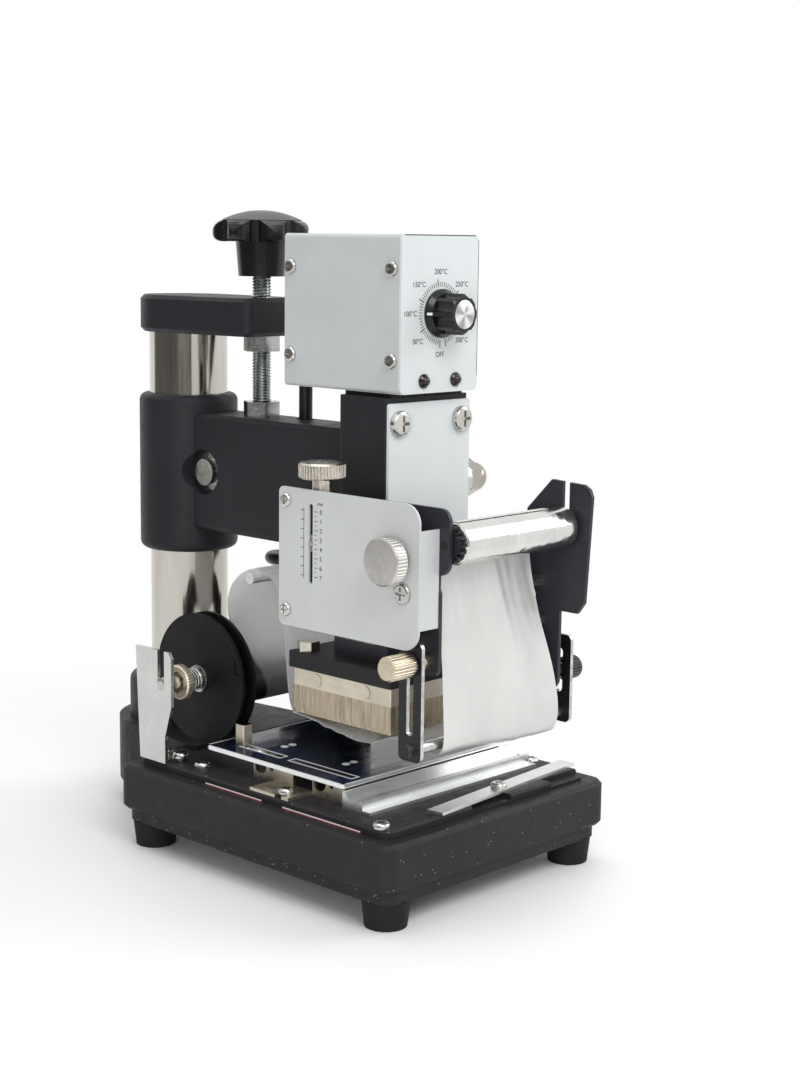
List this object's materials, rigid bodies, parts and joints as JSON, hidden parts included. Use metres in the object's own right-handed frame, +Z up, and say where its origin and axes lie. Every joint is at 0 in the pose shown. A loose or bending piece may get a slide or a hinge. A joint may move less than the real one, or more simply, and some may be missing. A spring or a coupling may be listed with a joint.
{
  "type": "hot foil stamping machine",
  "caption": "Bench hot foil press: heated type block on a lever-driven ram, arm sliding on a round column, control box on the head and foil fed from a reel to a take-up roll.",
  "frame": {"origin": "centre of the footprint, on the surface that the rubber feet stand on", "axes": "+X to the operator's right, +Y from the operator towards the column, +Z up"},
  "size_m": [0.16, 0.284, 0.3235],
  "materials": {
    "cast_black": "black speckled stove enamel on a light casting",
    "foot_rubber": "dull moulded rubber",
    "chrome_tube": "polished hard chrome",
    "zinc_steel": "zinc-plated steel",
    "bright_sheet": "bright sheet steel",
    "bare_steel": "ground steel",
    "nickel": "warm nickel plate",
    "bare_aluminium": "extruded, satin",
    "silver_foil": "metallised film",
    "reel_black": "moulded black plastic",
    "cap_grey": "moulded grey plastic",
    "table_gloss": "high-gloss dark blue black",
    "table_cream": "cream plated steel",
    "sheet_white": "pale grey powder coat",
    "sheet_black": "satin black powder coat",
    "insulator": "dark pressed insulating board",
    "heater_steel": "warm ground steel",
    "type_steel": "brushed steel browned by heat",
    "ceramic": "glazed switch body",
    "lamp_lens": "dark red lens",
    "lead_rubber": "black sleeve"
  },
  "bodies": {
    "base": {"base_casting": "cast_black", "rubber_feet": "foot_rubber", "column": "chrome_tube", "top_arm": "cast_black", "lock_nut": "zinc_steel", "reel_brackets": "bright_sheet", "deck_screws": "zinc_steel", "supply_spindle": "bare_steel", "brake_spring": "bare_steel", "front_rail": "bare_aluminium"},
    "brake_nut": {"brake_nut": "nickel"},
    "supply": {"supply_reel": "reel_black", "supply_roll": "silver_foil"},
    "table": {"table_plate": "table_gloss", "table_fittings": "table_cream"},
    "gauge": {"gauge_strip": "bare_aluminium"},
    "arm": {"arm_casting": "cast_black", "sleeve_clamp": "zinc_steel", "arm_nut": "zinc_steel", "head_housing": "cast_black", "front_plate": "sheet_white", "panel_screws": "zinc_steel", "return_springs": "bare_steel", "box_spacer": "reel_black", "box_chassis": "sheet_white", "box_cover": "sheet_white", "thermostat": "ceramic", "indicator_lamps": "lamp_lens", "left_plate": "sheet_black", "right_plate": "sheet_black", "feed_plate": "sheet_white", "cross_rods": "bare_steel", "rear_guide_bracket": "sheet_black", "foil_web": "silver_foil", "heater_cable": "lead_rubber", "guide_nuts": "nickel"},
    "screw": {"height_screw": "zinc_steel", "star_knob": "reel_black", "star_knob_cap": "cap_grey"},
    "lever": {"lever_shaft": "bare_steel", "pinion": "bare_steel", "lever_arm": "bare_steel", "lever_grip": "reel_black", "cap_nut": "nickel"},
    "ram": {"ram_bar": "bare_steel", "ram_foot": "sheet_black", "guide_rods": "bare_steel", "heater_bolts": "nickel", "insulator_plate": "insulator", "heater_block": "heater_steel", "cartridge_heaters": "heater_steel", "type_holder": "type_steel", "type_plate": "type_steel"},
    "dial": {"dial_knob": "reel_black"},
    "feed_screw": {"feed_screw": "nickel"},
    "feed_slider": {"feed_slider": "bare_steel"},
    "takeup": {"takeup_shaft": "bare_steel", "takeup_roll": "silver_foil"},
    "takeup_knob": {"takeup_knob": "nickel"},
    "guide": {"guide_frame": "sheet_black"}
  },
  "joints": [
    {"name": "arm_height", "type": "slide", "parent": "base", "child": "arm", "axis": [0, 0, 1], "range_m": [-0.006, 0.022], "deforming": ["foil_web"]},
    {"name": "height_screw_turn", "type": "hinge", "parent": "arm", "child": "screw", "pos_m": [0, 0.044, 0.25], "axis": [0, 0, 1], "range_deg": [-1445, 5285]},
    {"name": "lever_pull", "type": "hinge", "parent": "arm", "child": "lever", "pos_m": [0, -0.051, 0.19], "axis": [1, 0, 0], "range_deg": [0, 95.4]},
    {"name": "ram_press", "type": "slide", "parent": "arm", "child": "ram", "axis": [0, 0, -1], "range_m": [0, 0.015], "stiffness_N_per_m": 600, "springref_m": -0.04, "deforming": ["return_springs", "foil_web", "heater_cable"]},
    {"name": "dial_turn", "type": "hinge", "parent": "arm", "child": "dial", "pos_m": [0, -0.0815, 0.2753], "axis": [0, -1, 0], "range_deg": [-300, 0]},
    {"name": "feed_screw_turn", "type": "hinge", "parent": "arm", "child": "feed_screw", "pos_m": [-0.05, -0.0537, 0.19], "axis": [0, 0, 1], "range_deg": [-5045, 5045]},
    {"name": "feed_slider_move", "type": "slide", "parent": "arm", "child": "feed_slider", "axis": [0, 0, 1], "range_m": [-0.014, 0.014]},
    {"name": "takeup_turn", "type": "hinge", "parent": "arm", "child": "takeup", "pos_m": [0, -0.1264, 0.1746], "axis": [1, 0, 0], "continuous": true},
    {"name": "takeup_knob_turn", "type": "hinge", "parent": "arm", "child": "takeup_knob", "pos_m": [0, -0.11175, 0.16816], "axis": [1, 0, 0], "continuous": true},
    {"name": "supply_turn", "type": "hinge", "parent": "base", "child": "supply", "pos_m": [0, 0.039, 0.086], "axis": [1, 0, 0], "continuous": true},
    {"name": "brake_nut_turn", "type": "hinge", "parent": "base", "child": "brake_nut", "pos_m": [-0.059, 0.039, 0.086], "axis": [1, 0, 0], "range_deg": [-720, 360]},
    {"name": "guide_height", "type": "slide", "parent": "arm", "child": "guide", "axis": [0, 0, 1], "range_m": [-0.004, 0.005], "deforming": ["foil_web"]},
    {"name": "table_shift", "type": "slide", "parent": "base", "child": "table", "axis": [1, 0, 0], "range_m": [-0.0025, 0.0025]},
    {"name": "gauge_swing", "type": "hinge", "parent": "base", "child": "gauge", "pos_m": [0.015, -0.111, 0.046], "axis": [0, 0, 1], "range_deg": [-6, 3]}
  ],
  "couplings": [
    {"joint": "height_screw_turn", "follows": "arm_height", "rad_per_m": 4188.8},
    {"joint": "ram_press", "follows": "lever_pull", "m_per_rad": 0.009},
    {"joint": "feed_screw_turn", "follows": "feed_slider_move", "rad_per_m": 6283.2},
    {"joint": "takeup_turn", "follows": "supply_turn", "ratio": -1.7259},
    {"joint": "takeup_knob_turn", "follows": "supply_turn", "ratio": 1.7259}
  ]
}
